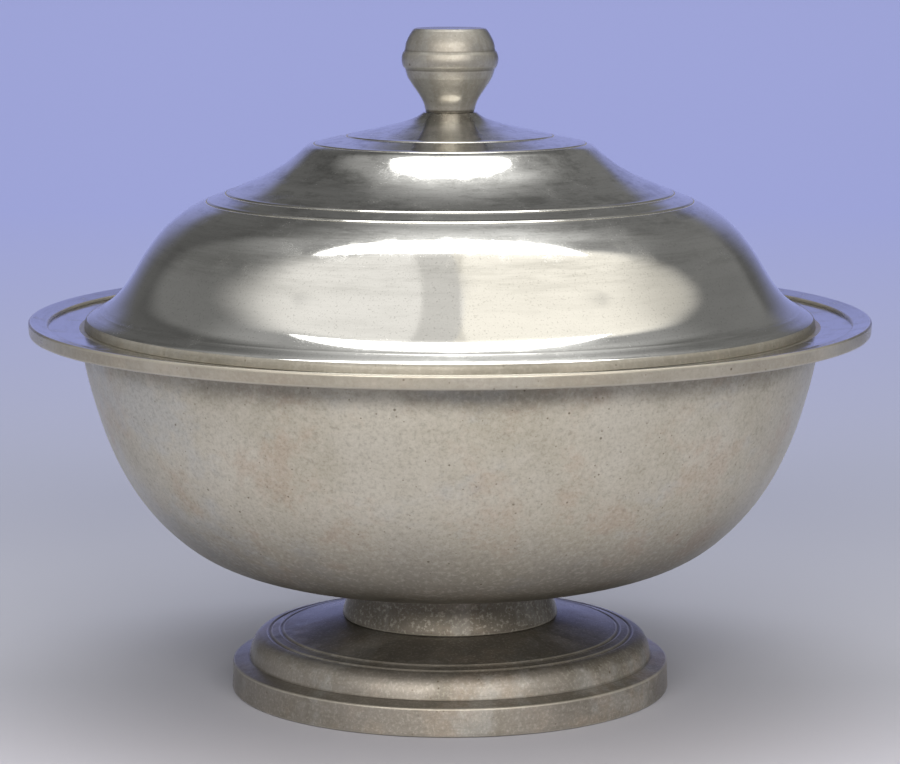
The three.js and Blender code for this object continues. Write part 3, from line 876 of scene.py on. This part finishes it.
# %% The ceiling and the low part
to_the_right = add(tree, "ShaderNodeMapRange", "Result", {
    "Value": side, "From Min": -35, "From Max": 35, "To Min": 0.7, "To Max": 1.4})
ceiling = dimmed(summed(tree, 1.0, [(share(tree, (over, 85, 135)), -0.85)]), to_the_right)
turned_away = add(tree, "ShaderNodeMath", "Value", {
    0: share(tree, (width, 130, 142)), 1: share(tree, (height, 60, 70))}, operation="MAXIMUM")
overhead = summed(tree, 0.0, [(share(tree, (over, 86, 100)), turned_away)])
upper = in_front(upper, [(overhead, ceiling)])
sill = add(tree, "ShaderNodeMapRange", "Result", {
    "Value": width, "From Min": 70, "From Max": 100, "To Min": 38, "To Max": 6})
sill = summed(tree, sill, [(share(tree, (width, 138, 150)), 8.0), (share(tree, (width, 160, 173)), 5.0)])
above_sill = share(tree, (summed(tree, height, [(sill, -1.0)]), 0, 10))
dim_front, pale_side, blue_back = (0.12, 0.12, 0.12), (0.45, 0.45, 0.45), (0.33, 0.36, 0.69)
room = in_front(dim_front, [
    (share(tree, (width, 40, 90), (width, 145, 100)), pale_side), (share(tree, (width, 145, 175)), blue_back),
    (above_sill, upper)])
print("behind the dish the room is blue:", blue_back)

# %% [markdown]
# ## Lamps
# A studio lights metal with large soft lamps, whose reflections draw its form. A long box
# overhead, pointed at its ends like a leaf, lies as a white lens on the shoulder of the
# cover. Two lamps in front, side by side with a thin bar between them, make the bright
# line at its flare. They are part of the room's light, so each has the soft edge it needs.

# %% Lamps
half_way = add(tree, "ShaderNodeMath", "Value", {0: side}, operation="ABSOLUTE")
half_way = add(tree, "ShaderNodeMath", "Value", {0: half_way, 1: 29.5}, operation="DIVIDE")
taper = add(tree, "ShaderNodeMath", "Value", {0: half_way, 1: 2.4}, operation="POWER")
over_foot, over_top = summed(tree, over, [(taper, -6.0)]), summed(tree, over, [(taper, 11.0)])
box = share(tree, (over_foot, 89.2, 90.2), (over_top, 107.0, 105.8))
halo = share(tree, (over, 82, 93), (over, 138, 104), (side, -21, -3), (side, 26, 9))
left, right = (
    share(tree, (height, 15.5, 17.5), (height, 29, 26.5), (azimuth, -41, -31), (azimuth, -1.5, -2.5)),
    share(tree, (height, 15.5, 17.5), (height, 29, 26.5), (azimuth, 41, 31), (azimuth, 1.5, 2.5)))
light = room
for colour, strength in [
        ((1.0, 1.0, 1.0), summed(tree, 0.0, [(box, 4.6), (halo, 0.5)])),
        ((1.0, 0.955, 0.885), summed(tree, 0.0, [(left, 13.2), (right, 15.0)]))]:
    light = add(tree, "ShaderNodeVectorMath", "Vector", {0: colour, 1: strength, 2: light},
                operation="MULTIPLY_ADD")
sky = add(tree, "ShaderNodeBackground", "Background", {"Color": light, "Strength": 1.0})
add(tree, "ShaderNodeOutputWorld", inputs={"Surface": sky})
print("the room's light has", len(tree.nodes), "nodes")

# %% [markdown]
# ## The camera
# A long lens at a metre keeps the circles of the dish nearly true, and a low angle shows
# the brim as a thin ellipse. The place and the angle come from fitting the circles of the
# brim, the cover and the foot to the photograph.

# %% Camera
lens = bpy.data.cameras.new("camera")
lens.sensor_width, lens.lens = 36.0, 128.1
lens.clip_start, lens.clip_end = 0.05, 60.0
camera = bpy.data.objects.new("camera", lens)
looking_down = 0.1484
camera.location = (0.0, -1.0122, 0.2497)
camera.rotation_euler = (np.pi / 2 - looking_down, 0.0, 0.0)
bpy.context.collection.objects.link(camera)
bpy.context.scene.camera = camera
bpy.context.scene.view_settings.view_transform = "Standard"
print("the camera looks down by", round(float(np.degrees(looking_down)), 1), "degrees")
